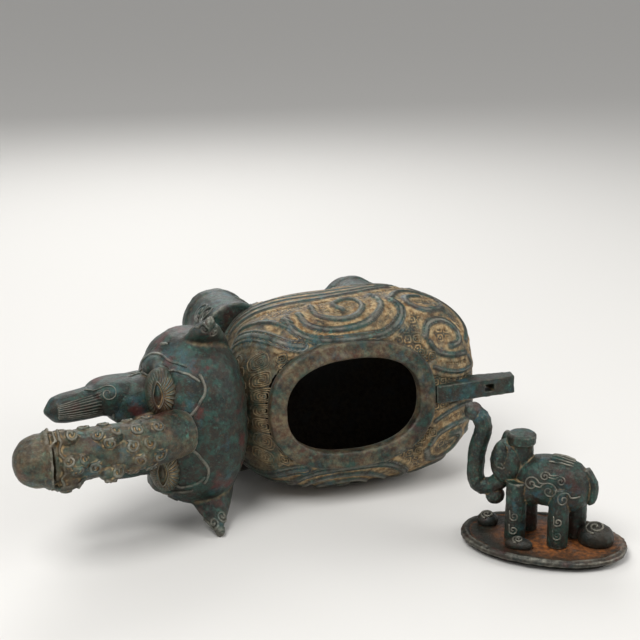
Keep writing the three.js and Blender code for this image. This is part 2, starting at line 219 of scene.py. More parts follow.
def cast_copy(name, nodes, place, swell):
    """Merged copies of CAD nodes in one mesh, swollen a little so that they run together."""
    inverse = place.inverted()
    whole = bmesh.new()
    for node in nodes:
        part = bmesh.new()
        part.from_mesh(frame["nodes"][node].data)
        bmesh.ops.remove_doubles(part, verts=part.verts, dist=1e-6)
        bmesh.ops.transform(part, matrix=inverse, verts=part.verts)
        part.normal_update()
        for vertex in part.verts:
            vertex.co += vertex.normal * swell
        mesh = bpy.data.meshes.new("part")
        part.to_mesh(mesh)
        part.free()
        whole.from_mesh(mesh)
        bpy.data.meshes.remove(mesh)
    return object_from(name, whole)


def fused(name, nodes, place, voxel, smoothing, swell=0.35):
    """CAD nodes run together as they are in the casting, with soft corners."""
    obj = cast_copy(name, nodes, place, swell)
    apply_modifier(obj, "REMESH", mode="VOXEL", voxel_size=voxel)
    apply_modifier(obj, "SMOOTH", factor=0.5, iterations=smoothing)
    return obj


def curve_through(points, step):
    """A smooth line through points, evenly stepped."""
    points = np.asarray(points, float)
    ends = [2 * points[0] - points[1], *points, 2 * points[-1] - points[-2]]
    dense = []
    for i in range(len(points) - 1):
        p0, p1, p2, p3 = ends[i:i + 4]
        for t in np.linspace(0, 1, 24, endpoint=False):
            dense.append(0.5 * (
                2 * p1
                + (p2 - p0) * t
                + (2 * p0 - 5 * p1 + 4 * p2 - p3) * t ** 2
                + (3 * p1 - p0 - 3 * p2 + p3) * t ** 3
            ))
    dense.append(points[-1])
    dense = np.array(dense)
    lengths = np.r_[0, np.cumsum(np.linalg.norm(np.diff(dense, axis=0), axis=1))]
    count = max(2, int(lengths[-1] / step) + 1)
    even = np.linspace(0, lengths[-1], count)
    return np.stack([np.interp(even, lengths, dense[:, k]) for k in range(dense.shape[1])], 1)


def square_spiral(size, pitch, turn=0.0, way=1):
    """A squared spiral with round corners, from its middle outwards, in a plane."""
    turns = size / 2 / pitch
    angles = np.linspace(0.35, 2 * math.pi * turns, int(22 * turns) + 4)
    reach = pitch * angles / (2 * math.pi)
    c, s = np.cos(way * angles + turn), np.sin(way * angles + turn)
    square = (np.abs(c) ** 4 + np.abs(s) ** 4) ** -0.25
    return np.stack([c, s], 1) * (reach * square)[:, None]


def curl(size, turns, way=1, tail=0.0):
    """A round spiral from its middle outwards, running off along the first axis."""
    angles = np.linspace(0.6, 2 * math.pi * turns, int(18 * turns))
    reach = size / 2 * angles / angles[-1]
    line = np.stack([reach * np.sin(way * angles), -reach * np.cos(way * angles)], 1)
    if tail:
        run = np.linspace(0, tail, 6)[1:]
        line = np.vstack([line, line[-1] + np.stack([-run * way, 0.04 * run ** 2], 1)])
    return line


def laid(surface, point, along, shape):
    """A flat line laid on a surface at the place nearest to a point."""
    seat, normal, _, _ = surface.find_nearest(Vector(point))
    u = Vector(along) - normal * normal.dot(Vector(along))
    u.normalize()
    v = normal.cross(u)
    return [seat + u * x + v * y for x, y in shape]


def mirrored(lines):
    return lines + [[(p[0], -p[1], p[2]) for p in line] for line in lines]


def surface_of(obj):
    return BVHTree.FromPolygons(
        [v.co.copy() for v in obj.data.vertices],
        [tuple(p.vertices) for p in obj.data.polygons],
    )


def raised_lines(name, lines, surface, width, height, sink=0.2):
    """Cast threads laid along lines on a surface, each closed and sunk a little into it."""
    bm = bmesh.new()
    for line in lines:
        seats = []
        for point in line:
            near, normal, _, _ = surface.find_nearest(Vector(point))
            if near is not None:
                seats.append((near, normal))
        if len(seats) < 2:
            continue
        rings = []
        for i, (seat, normal) in enumerate(seats):
            ahead = seats[min(i + 1, len(seats) - 1)][0] - seats[max(i - 1, 0)][0]
            side = normal.cross(ahead)
            if side.length < 1e-9:
                continue
            side.normalize()
            taper = 0.6 if i in (0, len(seats) - 1) else 1.0
            half = side * (width / 2 * taper)
            corners = (
                seat - half - normal * sink,
                seat - half * 0.6 + normal * height * taper,
                seat + half * 0.6 + normal * height * taper,
                seat + half - normal * sink,
            )
            rings.append([bm.verts.new(corner) for corner in corners])
        for first, second in zip(rings, rings[1:]):
            for k in range(4):
                n = (k + 1) % 4
                bm.faces.new((first[k], first[n], second[n], second[k]))
        if len(rings) > 1:
            bm.faces.new(rings[0][::-1])
            bm.faces.new(rings[-1])
    bmesh.ops.recalc_face_normals(bm, faces=bm.faces)
    return object_from(name, bm)


def merge_into(obj, *others):
    """Joins other meshes into one piece."""
    deselect()
    for other in others:
        other.select_set(True)
    obj.select_set(True)
    bpy.context.view_layer.objects.active = obj
    bpy.ops.object.join()


def store(obj, name, values):
    attribute = obj.data.attributes.get(name) or obj.data.attributes.new(name, "FLOAT", "POINT")
    attribute.data.foreach_set("value", np.ascontiguousarray(values, dtype=float))


def mark_relief(obj, rounds, depth):
    """Stores how far each point lies below (plus) or above (minus) its surroundings."""
    points = points_of(obj)
    count = len(points)
    edges = np.empty(len(obj.data.edges) * 2, int)
    obj.data.edges.foreach_get("vertices", edges)
    first, second = edges[0::2], edges[1::2]
    neighbours = np.maximum(np.bincount(edges, minlength=count), 1)
    smooth = points.copy()
    for _ in range(rounds):
        total = np.stack([
            np.bincount(first, smooth[second, k], count) + np.bincount(second, smooth[first, k], count)
            for k in range(3)
        ], 1)
        smooth = 0.4 * smooth + 0.6 * total / neighbours[:, None]
    offset = ((smooth - points) * normals_of(obj)).sum(1)
    store(obj, "relief", np.clip(offset / depth, -1, 1))


def roughen(obj, amount, size, seed):
    """Slow unevenness of an old casting, from a few crossed waves."""
    random = np.random.default_rng(seed)
    points = points_of(obj)
    total = np.zeros(len(points))
    for octave in range(3):
        for _ in range(5):
            direction = random.normal(size=3)
            direction *= 2 ** octave * 2 * math.pi / size / np.linalg.norm(direction)
            total += np.sin(points @ direction + random.uniform(0, 2 * math.pi)) / 2 ** octave / 5
    set_points(obj, points + normals_of(obj) * (amount * total)[:, None])


def finish_piece(obj, place, body, material, nodes=()):
    """Puts a piece made in millimetres into the frame and hands it over."""
    obj.data.transform(place)
    points = points_of(obj)
    points = np.clip(points, CAD_BOX[0], CAD_BOX[1])
    points[:, 2] = np.maximum(points[:, 2], FLOOR_CLEARANCE)
    set_points(obj, points)
    obj.data.materials.clear()
    obj.data.materials.append(material)
    obj.data.polygons.foreach_set("material_index", np.zeros(len(obj.data.polygons), int))
    obj.data.polygons.foreach_set("use_smooth", np.ones(len(obj.data.polygons), bool))
    obj.data.update()
    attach(obj, body)
    if nodes:
        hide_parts(*nodes)


# Finishes

def add(tree, kind, inputs=None, **settings):
    """Adds a node with its settings, and links or fills its inputs."""
    node = tree.nodes.new(kind)
    for key, value in settings.items():
        setattr(node, key, value)
    for key, value in (inputs or {}).items():
        if isinstance(value, bpy.types.Node):
            value = value.outputs[0]
        if isinstance(value, bpy.types.NodeSocket):
            tree.links.new(value, node.inputs[key])
        else:
            node.inputs[key].default_value = value
    return node


def patch(tree, coords, size_mm, low, high, detail=4.0, rough=0.6, seed=0.0):
    """A soft-edged patch mask from noise of a real size."""
    noise = add(tree, "ShaderNodeTexNoise", {
        "Vector": coords, "W": seed, "Scale": 1 / (size_mm * MM), "Detail": detail, "Roughness": rough,
    }, noise_dimensions="4D")
    return add(tree, "ShaderNodeMapRange", {0: noise.outputs["Fac"], 1: low, 2: high})


def blend_colour(tree, mask, under, over):
    return add(tree, "ShaderNodeMix", {0: mask, 6: under, 7: over}, data_type="RGBA").outputs[2]


def times(tree, a, b):
    return add(tree, "ShaderNodeMath", {0: a, 1: b}, operation="MULTIPLY")


def leiwen_grooves(tree, cell_mm, turns):
    """Squared spiral grooves over the piece's wrap map, which is in millimetres."""
    wrap = add(tree, "ShaderNodeUVMap", uv_map="wrap")
    per_mm = (1 / cell_mm, 1 / cell_mm, 0)
    cells = add(tree, "ShaderNodeVectorMath", {0: wrap, 1: per_mm}, operation="MULTIPLY")
    inside = add(tree, "ShaderNodeVectorMath", {0: cells}, operation="FRACTION")
    centred = add(tree, "ShaderNodeVectorMath", {0: inside, 1: (0.5, 0.5, 0)}, operation="SUBTRACT")
    parts = add(tree, "ShaderNodeSeparateXYZ", {0: centred})
    x4 = add(tree, "ShaderNodeMath", {0: parts.outputs[0], 1: 4.0}, operation="POWER")
    y4 = add(tree, "ShaderNodeMath", {0: parts.outputs[1], 1: 4.0}, operation="POWER")
    total = add(tree, "ShaderNodeMath", {0: x4, 1: y4}, operation="ADD")
    reach = add(tree, "ShaderNodeMath", {0: total, 1: 0.25}, operation="POWER")
    angle = add(tree, "ShaderNodeMath", {0: parts.outputs[1], 1: parts.outputs[0]}, operation="ARCTAN2")
    share = times(tree, angle, 1 / (2 * math.pi))
    wound = add(tree, "ShaderNodeMath", {0: reach, 1: 2.0 * turns, 2: share}, operation="MULTIPLY_ADD")
    wave = add(tree, "ShaderNodeMath", {0: wound, 1: 1.0}, operation="PINGPONG")
    return add(tree, "ShaderNodeMapRange", {0: wave, 1: 0.38, 2: 0.62})


# Colours of old bronze: two of bare skin, three of copper salts, two of earth, then cuprite, bare
# metal that also serves as painted highlight, and painted shade for the unlit inside
PALETTE = {
    "bronze_brown": "#2b251c",
    "green_black": "#141b18",
    "malachite": "#24443b",
    "verdigris": "#447a6c",
    "azurite_blue": "#28525c",
    "clay": "#b59d74",
    "ochre": "#7a5c37",
    "cuprite": "#4c211e",
    "wear_and_highlight": "#8d8a7e",
    "inside_shade": "#0e0b08",
}


def patina(name, palette, clay=1.0, wear_and_highlight=0.5, red=0.5, teal=1.0, leiwen=None, crust=0.0, film=0.0):
    """Cast bronze, long buried: a dull green-black skin with blue-green patches, red spots, clay left
    in every hollow, bare metal showing grey where hands have polished it and as a painted highlight on
    all raised relief, and the inside painted dark as shade."""
    material = bpy.data.materials.new(name)
    material.use_nodes = True
    tree = material.node_tree
    tree.nodes.clear()
    coords = add(tree, "ShaderNodeTexCoord").outputs["Object"]
    relief = add(tree, "ShaderNodeAttribute", attribute_name="relief").outputs["Fac"]
    field = add(tree, "ShaderNodeAttribute", attribute_name="field").outputs["Fac"]
    # Mask of the inside, which is painted dark as shade
    inside = add(tree, "ShaderNodeAttribute", attribute_name="inside").outputs["Fac"]

    ground = patch(tree, coords, 8, 0.40, 0.60, detail=6.0, seed=1.0)
    colour = blend_colour(tree, ground, linear(palette["green_black"]), linear(palette["bronze_brown"]))
    green = patch(tree, coords, 4.5, 0.47, 0.60, detail=9.0, rough=0.7, seed=2.0)
    colour = blend_colour(tree, times(tree, green, 0.9), colour, linear(palette["malachite"]))
    blue = patch(tree, coords, 13, 0.54, 0.64, detail=9.0, rough=0.75, seed=4.0)
    colour = blend_colour(tree, times(tree, blue, 0.8 * teal), colour, linear(palette["azurite_blue"]))
    pale = patch(tree, coords, 5, 0.57, 0.66, detail=10.0, rough=0.78, seed=3.0)
    colour = blend_colour(tree, times(tree, pale, 0.85 * teal), colour, linear(palette["verdigris"]))
    spots = patch(tree, coords, 0.8, 0.60, 0.72, detail=3.0, seed=5.0)
    colour = blend_colour(tree, times(tree, spots, 0.55 * teal), colour, linear(palette["verdigris"]))
    rust = patch(tree, coords, 15, 0.55, 0.63, detail=7.0, rough=0.65, seed=6.0)
    colour = blend_colour(tree, times(tree, rust, red), colour, linear(palette["cuprite"]))

    hollow = add(tree, "ShaderNodeMapRange", {0: relief, 1: 0.08, 2: 0.5})
    fill = patch(tree, coords, 6, 0.28, 0.52, detail=7.0, seed=7.0)
    silt = times(tree, times(tree, hollow, fill), clay)
    earth = blend_colour(
        tree, patch(tree, coords, 2.5, 0.4, 0.6, seed=8.0), linear(palette["clay"]), linear(palette["ochre"]))
    dust = times(tree, patch(tree, coords, 1.6, 0.55, 0.75, detail=8.0, rough=0.8, seed=13.0), 0.45 * clay)
    silt = add(tree, "ShaderNodeMath", {0: silt, 1: dust}, operation="MAXIMUM")
    bumps = []
    if leiwen:
        share = add(tree, "ShaderNodeAttribute", attribute_name="leiwen").outputs["Fac"]
        cut = times(tree, leiwen_grooves(tree, *leiwen), share)
        colour = blend_colour(tree, times(tree, cut, 0.7), colour, linear(palette["green_black"]))
        bumps.append((cut, -0.4 * MM))
    if film:
        spread = times(tree, patch(tree, coords, 10, 0.36, 0.56, detail=8.0, rough=0.7, seed=9.0), field)
        if leiwen:
            ridge = add(tree, "ShaderNodeMath", {0: 1.0, 1: times(tree, cut, 0.8)}, operation="SUBTRACT")
            spread = times(tree, spread, ridge)
        silt = add(tree, "ShaderNodeMath", {0: silt, 1: times(tree, spread, film)}, operation="MAXIMUM")
    if crust:
        scale = patch(tree, coords, 12, 0.42, 0.58, detail=9.0, rough=0.7, seed=10.0)
        silt = add(tree, "ShaderNodeMath", {0: silt, 1: times(tree, scale, crust)}, operation="MAXIMUM")
    colour = blend_colour(tree, silt, colour, earth)

    # Bare metal from wear on raised relief, which is also a painted highlight on every crest
    crest = add(tree, "ShaderNodeMapRange", {0: relief, 1: -0.10, 2: -0.55})
    rubbed_and_highlight = times(tree, times(tree, crest, patch(tree, coords, 6, 0.36, 0.60, detail=6.0, seed=11.0)), wear_and_highlight)
    colour = blend_colour(tree, rubbed_and_highlight, colour, linear(palette["wear_and_highlight"]))
    # Painted shade: the inside of the vessel is darkened nearly to black
    colour = blend_colour(tree, times(tree, inside, 0.92), colour, linear(palette["inside_shade"]))

    grain = add(tree, "ShaderNodeTexNoise", {
        "Vector": coords, "Scale": 1 / (0.8 * MM), "Detail": 6.0, "Roughness": 0.7,
    })
    bumps.append((grain.outputs["Fac"], 0.3 * MM))
    pits = patch(tree, coords, 2.0, 0.32, 0.42, detail=4.0, seed=12.0)
    bumps.append((pits, 0.16 * MM))
    normal = None
    for height, distance in bumps:
        inputs = {"Height": height, "Distance": abs(distance), "Strength": 1.0}
        if normal is not None:
            inputs["Normal"] = normal
        normal = add(tree, "ShaderNodeBump", inputs, invert=distance < 0).outputs[0]

    dull = add(tree, "ShaderNodeMapRange", {0: grain.outputs["Fac"], 1: 0.3, 2: 0.7, 3: 0.30, 4: 0.58})
    roughness = add(tree, "ShaderNodeMath", {0: silt, 1: 0.35, 2: dull}, operation="MULTIPLY_ADD")
    metal = add(tree, "ShaderNodeMapRange", {0: rubbed_and_highlight, 1: 0.0, 2: 1.0, 3: 0.25, 4: 0.9})
    shader = add(tree, "ShaderNodeBsdfPrincipled", {
        "Base Color": colour, "Roughness": roughness, "Metallic": metal, "Normal": normal,
    })
    add(tree, "ShaderNodeOutputMaterial", {0: shader})
    return material


FINISHES = {}


def make_finishes():
    """One cast bronze patina for each part, which differ in how much clay, rust, wear and painted highlight
    they show.
    """
    # Clay lies pale between the dark bands, and the squared spirals are cut through it
    FINISHES["body"] = patina("cast_bronze_leiwen", PALETTE, wear_and_highlight=0.7, red=0.4, leiwen=(4.8, 3.0), film=0.95)
    # Darker and redder, with a little blue
    FINISHES["head"] = patina("cast_bronze_head", PALETTE, clay=0.9, wear_and_highlight=0.7, red=0.85, teal=0.7)
    FINISHES["leg"] = patina("cast_bronze_leg", PALETTE, clay=0.9, wear_and_highlight=0.5, red=0.3)
    # Smooth from wear, with brown crust in places
    FINISHES["rim"] = patina(
        "cast_bronze_rim", {**PALETTE, "ochre": "#7d4a2b"}, clay=0.5, wear_and_highlight=0.5, teal=0.6, crust=0.28)
    FINISHES["trunk"] = patina("cast_bronze_trunk", PALETTE, wear_and_highlight=0.9, crust=0.22)
    # Fine threads painted pale, as wear and as a painted highlight, so that they read against the dark neck
    FINISHES["thread"] = patina(
        "cast_bronze_thread", {**PALETTE, "green_black": "#3d3b2e", "bronze_brown": "#5f5540"},
        clay=0.8, wear_and_highlight=0.9, crust=0.8)
    FINISHES["knob"] = patina("cast_bronze_knob", PALETTE, wear_and_highlight=1.0, red=0.4)
    # Dark plate with an orange crust spreading from the feet
    FINISHES["lid"] = patina(
        "cast_bronze_lid", {**PALETTE, "malachite": "#2a2a22", "clay": "#a5632c", "ochre": "#60391d"},
        clay=0.6, wear_and_highlight=0.8, teal=0.25, film=0.95)


# Body

# Finished outsides that later pieces are laid on
SURFACES = {}


def wrap_angle(points):
    """Angle round the body's long axis, from the mouth over the flank to the belly."""
    return np.arctan2(points[:, 1], points[:, 2] - BODY_CENTRE[2])


FLANK_BANDS = (
    # Crested beast: half width, height, then points as (along the body, round the flank)
    (3.6, 1.7, ((-50, 60), (-44, 50), (-37, 41), (-31, 36), (-25, 34))),
    (2.2, 1.5, ((-47, 68), (-40, 59), (-33, 50), (-27, 42))),
    (2.9, 1.8, ((-29, 51), (-27, 42), (-19, 36), (-6, 34), (8, 34), (19, 35), (28, 40), (32, 47), (29, 55))),
    (2.3, 2.0, ((-22, 52), (-20, 44), (-11, 39.5), (1, 39), (11, 41), (19, 46), (23, 53), (21, 61))),
    (2.1, 2.2, ((-14, 56), (-14, 49), (-7, 45), (1, 44), (8, 46), (12, 51), (10, 57), (3, 58),
                (-3, 54), (1, 50))),
    (2.4, 1.6, ((-49, 80), (-38, 74), (-27, 68), (-11, 64), (5, 66), (20, 70), (38, 77))),
    (2.1, 1.4, ((-50, 88), (-36, 81), (-22, 75), (-6, 71), (10, 73), (28, 79), (44, 86))),
    (1.8, 1.2, ((-40, 90), (-22, 82), (-4, 78), (14, 81), (30, 87))),
    (2.4, 1.7, ((31, 57), (38, 65), (48, 67), (57, 61), (58, 51), (47, 46), (38, 50), (39, 57), (47, 59))),
    # Hooked rump ornament
    (2.5, 1.8, ((41, 32), (44, 38), (53, 40.5), (61, 37), (62, 30), (56, 27))),
    (2.3, 1.7, ((43, 29), (47, 24), (57, 22), (66, 24))),
    (2.0, 1.4, ((45, 16), (53, 13), (63, 12), (71, 16), (69, 22))),
    (2.2, 1.5, ((68, 32), (71, 42), (70, 54), (65, 65), (56, 74))),
    (2.4, 1.4, ((58, 70), (66, 74), (65, 84), (57, 87), (52, 81), (56, 76))),
    # Scrolls over the haunches
    (3.2, 1.6, ((-62, 96), (-52, 88), (-38, 90), (-30, 101), (-35, 113), (-47, 113), (-51, 103), (-43, 99))),
    (3.2, 1.6, ((16, 99), (26, 91), (42, 91), (52, 101), (48, 114), (36, 116), (29, 107), (36, 102))),
)


def band_distance(places, line):
    best = np.full(len(places), 1e9)
    for start, end in zip(line[:-1], line[1:]):
        run = end - start
        share = np.clip(((places - start) @ run) / (run @ run), 0, 1)
        best = np.minimum(best, np.linalg.norm(places - start - share[:, None] * run, axis=1))
    return best


def smooth_step(values):
    values = np.clip(values, 0, 1)
    return values * values * (3 - 2 * values)


def body_outer():
    """The body's outside, with its relief and the marks that the finish reads."""
    obj = swelling("body_casting", BODY_CENTRE, BODY_HALF, BODY_POWER, (39, 2))
    points = points_of(obj)
    angle = wrap_angle(points)
    places = np.stack([points[:, 0], np.abs(angle) * FLANK_RADIUS], 1)
    height = np.zeros(len(points))
    near = np.zeros(len(points))
    beside = np.zeros(len(points))
    for half, rise, knots in FLANK_BANDS:
        gap = band_distance(places, curve_through(knots, 2.5))
        ledge = 0.6 * smooth_step((half + 2.4 - gap) / 0.9)
        raised = rise * smooth_step((half - gap) / 1.1)
        furrow = 0.75 * np.exp(-((gap - half * 0.45) / 0.45) ** 2) * (gap < half)
        height = np.maximum(height, np.maximum(raised - furrow, ledge))
        near = np.maximum(near, smooth_step((half + 0.1 - gap) / 0.9))
        beside = np.maximum(beside, smooth_step((half + 2.6 - gap) / 1.0))
    set_points(obj, points + normals_of(obj) * height[:, None])
    clear_of_neck = smooth_step((points[:, 0] + 39) / 1.0)
    store(obj, "field", (1 - near) * (0.35 + 0.65 * clear_of_neck))
    store(obj, "leiwen", (1 - beside) * clear_of_neck)
    store(obj, "inside", np.zeros(len(points)))
    return obj


def wrap_map(obj):
    """A map in millimetres: along the body, and round it."""
    layer = obj.data.uv_layers.new(name="wrap")
    points = points_of(obj)
    angle = wrap_angle(points)
    loops = np.empty(len(obj.data.loops), int)
    obj.data.loops.foreach_get("vertex_index", loops)
    turn = angle[loops].reshape(-1)
    starts = np.empty(len(obj.data.polygons), int)
    obj.data.polygons.foreach_get("loop_start", starts)
    totals = np.empty(len(obj.data.polygons), int)
    obj.data.polygons.foreach_get("loop_total", totals)
    lead = np.repeat(turn[starts], totals)
    turn = lead + (turn - lead + math.pi) % (2 * math.pi) - math.pi
    flat = np.stack([points[loops, 0], turn * FLANK_RADIUS], 1)
    layer.data.foreach_set("uv", flat.ravel())


def oval(half_x, half_y, power, count):
    angles = np.linspace(0, 2 * math.pi, count, endpoint=False)
    c, s = np.cos(angles), np.sin(angles)
    x = half_x * np.sign(c) * np.abs(c) ** (2 / power)
    y = half_y * np.sign(s) * np.abs(s) ** (2 / power)
    return np.stack([x, y], 1)


def oval_block(name, half_x, half_y, power, low, high, count=96):
    bm = bmesh.new()
    rings = [
        [bm.verts.new((x, y, z)) for x, y in oval(half_x, half_y, power, count)]
        for z in (low, high)
    ]
    for i in range(count):
        n = (i + 1) % count
        bm.faces.new((rings[0][i], rings[0][n], rings[1][n], rings[1][i]))
    bm.faces.new(rings[0][::-1])
    bm.faces.new(rings[1])
    return object_from(name, bm)


def make_body():
    outer = body_outer()
    SURFACES["body"] = surface_of(outer)
    inner = swelling("body_inside", BODY_CENTRE, BODY_HALF - BODY_WALL, BODY_POWER, (23,))
    pick(inner)
    bpy.ops.object.mode_set(mode="EDIT")
    bpy.ops.mesh.select_all(action="SELECT")
    bpy.ops.mesh.flip_normals()
    bpy.ops.object.mode_set(mode="OBJECT")
    store(inner, "field", np.zeros(len(inner.data.vertices)))
    store(inner, "leiwen", np.zeros(len(inner.data.vertices)))
    # The inside is marked for the painted shade of the finish
    store(inner, "inside", np.ones(len(inner.data.vertices)))
    merge_into(outer, inner)
    hole = oval_block("hole", RIM_HALF[0] - 0.4, RIM_HALF[1] - 0.4, MOUTH_POWER, -30.0, 20.0)
    apply_modifier(outer, "BOOLEAN", operation="DIFFERENCE", object=hole, solver="EXACT")
    bpy.data.objects.remove(hole)
    mark_relief(outer, 12, 0.8)
    wrap_map(outer)
    finish_piece(outer, VESSEL, "vessel", FINISHES["body"], ("body_shell",))


def body_point(along, round_mm):
    """A point on the body's outside from its place along and round the body."""
    angle = round_mm / FLANK_RADIUS
    start = Vector((along, 0, BODY_CENTRE[2]))
    hit = SURFACES["body"].ray_cast(start, Vector((0, math.sin(angle), math.cos(angle))))
    return hit[0] if hit[0] is not None else start


def make_neck_threads():
    """Squared spirals across the neck, and smaller ones in the corners beside the rim."""
    lines = []
    pitch = 11.0
    columns = ((-45.5, 10.2, 7), (-56.0, 9.4, 9))
    corners = ((-35.5, 30.5, 5.6), (-36.5, 24.0, 5.4), (36, 31, 5.6), (38, 24, 5.4), (44, 22, 5))
    for along, size, count in columns:
        for i in range(count):
            across = (i - (count - 1) / 2) * pitch
            spiral = square_spiral(size, 1.2, turn=0.5 * i, way=1 if i % 2 else -1)
            lines.append([body_point(along + x, across + y) for x, y in spiral])
    for flank in (-1, 1):
        for along, across, size in corners:
            spiral = square_spiral(size, 1.15, turn=across, way=flank)
            lines.append([body_point(along + x, flank * across + y) for x, y in spiral])
    threads = raised_lines("neck_spirals", lines, SURFACES["body"], 0.66, 0.42)
    mark_relief(threads, 1, 0.6)
    finish_piece(threads, VESSEL, "vessel", FINISHES["thread"])


def make_rim():
    """Lip and flat band round the mouth, as one ring of smooth section."""
    around = 220
    depth = 2 * RIM_HALF[2]
    inner = oval(*MOUTH_HALF, MOUTH_POWER, around)
    outer = oval(RIM_HALF[0], RIM_HALF[1], MOUTH_POWER, around)
    section = [
        (0.0, -depth), (0.0, -depth * 0.7), (0.0, -depth * 0.4), (0.02, -1.2), (0.06, -0.5), (0.14, -0.1),
        (0.24, 0.0), (0.34, -0.05), (0.42, -0.28), (0.52, -0.34), (0.64, -0.30), (0.76, -0.28),
        (0.86, -0.34), (0.93, -0.6), (0.98, -1.2), (1.0, -2.2), (1.0, -depth * 0.6), (1.0, -depth),
        (0.66, -depth), (0.33, -depth),
    ]
    bm = bmesh.new()
    rings = []
    for share, z in section:
        path = inner + (outer - inner) * share
        rings.append([bm.verts.new((x, y, z)) for x, y in path])
    for k in range(len(rings)):
        first, second = rings[k], rings[(k + 1) % len(rings)]
        for i in range(around):
            n = (i + 1) % around
            bm.faces.new((first[i], first[n], second[n], second[i]))
    bmesh.ops.recalc_face_normals(bm, faces=bm.faces)
    obj = object_from("rim_band", bm)
    apply_modifier(obj, "SUBSURF", levels=1, render_levels=1)
    roughen(obj, 0.12, 9, 3)
    mark_relief(obj, 5, 0.5)
    finish_piece(obj, VESSEL, "vessel", FINISHES["rim"], ("mouth_rim",))


# Head

HEAD_LINES = (
    # Brow, temple and cheek folds of the right side, each as points on the head
    ((-117, 12, -15), (-113, 22, -19), (-105, 27, -20), (-98, 31, -13), (-92, 32, -3), (-87, 31, 2)),
    ((-119, 9, -10), (-112, 19, -14), (-104, 23, -17), (-99, 28, -8)),
    ((-104, 33, 3), (-97, 34, 8), (-89, 31, 9), (-82, 25, 10)),
    ((-90, 8, 12), (-84, 14, 12), (-80, 22, 11), (-82, 30, 9)),
)


def make_head():
    nodes = ("head_shell", "lower_jaw", "right_ear", "left_ear")
    obj = fused("head_casting", nodes, VESSEL, 0.72, 8)
    lumps = []
    for side in (-1, 1):
        lumps.append(swelling("cheek", (-106, side * 13, -16), (19, 12, 14), 2.6, (15,)))
        lumps.append(swelling("brow_ridge", (-92, side * 29, -14), (13, 7, 11), 2.4, (15,)))
    lumps.append(swelling("forehead", (-102, 0, 4), (13, 9, 13), 2.6, (15,)))
    merge_into(obj, *lumps)
    apply_modifier(obj, "REMESH", mode="VOXEL", voxel_size=0.72)
    apply_modifier(obj, "SMOOTH", factor=0.5, iterations=16)
    roughen(obj, 0.35, 12, 5)
    surface = surface_of(obj)
    lines = [curve_through(line, 0.8) for line in HEAD_LINES]
    ear_centre, ear_half = own_box("right_ear", VESSEL)
    tip = ear_centre + np.array((-2, ear_half[1] * 0.35, ear_half[2] * 0.1))
    for x, y, size, way in ((-5, 0, 8, 1), (3, -4, 7, -1), (2, 6, 5, 1)):
        lines.append(laid(surface, tip + np.array((x, y, 9)), (1, 0.4, 0), curl(size, 1.7, way, 5)))
        lines.append(laid(surface, tip + np.array((x, y, -9)), (1, 0.4, 0), curl(size, 1.7, -way, 5)))
    for x, y, z, size, way in ((-92, 32, -14, 10, 1), (-82, 34, -20, 11, -1), (-72, 38, -22, 10, 1)):
        lines.append(laid(surface, (x, y, z), (1, 0.2, 0.2), curl(size, 2.0, way, 6)))
    threads = raised_lines("head_threads", mirrored([[tuple(p) for p in line] for line in lines]),
                           surface, 1.7, 0.6, sink=0.3)
    merge_into(obj, threads)
    mark_relief(obj, 10, 0.7)
    finish_piece(obj, VESSEL, "vessel", FINISHES["head"], nodes)


def make_eye(word, side):
    """Shell shaped pad with a lidded almond eye in front and ribs that fan out behind it."""
    node = f"{word}_eye"
    centre, half = own_box(node, VESSEL)
    low = centre[2] + half[2] - 9
    obj = swelling(f"{word}_eye_pad", (centre[0], centre[1], low), (half[0], half[1], 9), 2.1, (59,))
    points = points_of(obj)
    x = (points[:, 0] - centre[0]) / half[0]
    y = side * (points[:, 1] - centre[1]) / half[1]
    eye_x, eye_y = x + 0.42, y - 0.05
    almond = (np.abs(eye_x) / 0.30) ** 1.5 + (np.abs(eye_y) / 0.55) ** 1.5
    lid_edge = 0.9 * np.exp(-((almond - 1) / 0.16) ** 2)
    ball = 0.8 * smooth_step((0.42 - almond) / 0.4) - 0.7 * smooth_step((0.95 - almond) / 0.2)
    angle = np.arctan2(eye_y, eye_x)
    ribs = 0.32 * np.cos(angle * 30) * smooth_step((almond - 1.2) / 0.4)
    top = smooth_step((points[:, 2] - low) / 3)
    set_points(obj, points + np.array((0, 0, 1)) * ((lid_edge + ball + ribs) * top)[:, None])
    mark_relief(obj, 5, 0.3)
    finish_piece(obj, VESSEL, "vessel", FINISHES["trunk"], (node,))


def make_tusk(word, side):
    node = f"{word}_tusk"
    obj = fused(f"{word}_tusk_casting", (node,), VESSEL, 0.45, 6)
    centre, half = own_box(node, VESSEL)
    root = swelling("root", (-117, side * 16, -17), (17, 9.5, 13), 2.6, (15,))
    merge_into(obj, root)
    apply_modifier(obj, "REMESH", mode="VOXEL", voxel_size=0.5)
    apply_modifier(obj, "SMOOTH", factor=0.5, iterations=20)
    surface = surface_of(obj)
    lines = []
    for i in range(-4, 5):
        lift = i * 1.5
        lines.append([
            (centre[0] + half[0] * t, centre[1] + lift, centre[2] + half[2] * (0.2 - 0.75 * t) + 9)
            for t in np.linspace(-0.85, 0.1, 14)
        ])
    place = (-124, side * 20, -6)
    lines.append([tuple(p) for p in laid(surface, place, (1, 0, -0.3), curl(10, 1.6, side, 7))])
    threads = raised_lines("plume", lines, surface, 0.7, 0.5)
    merge_into(obj, threads)
    mark_relief(obj, 5, 0.4)
    finish_piece(obj, VESSEL, "vessel", FINISHES["head"], (node,))


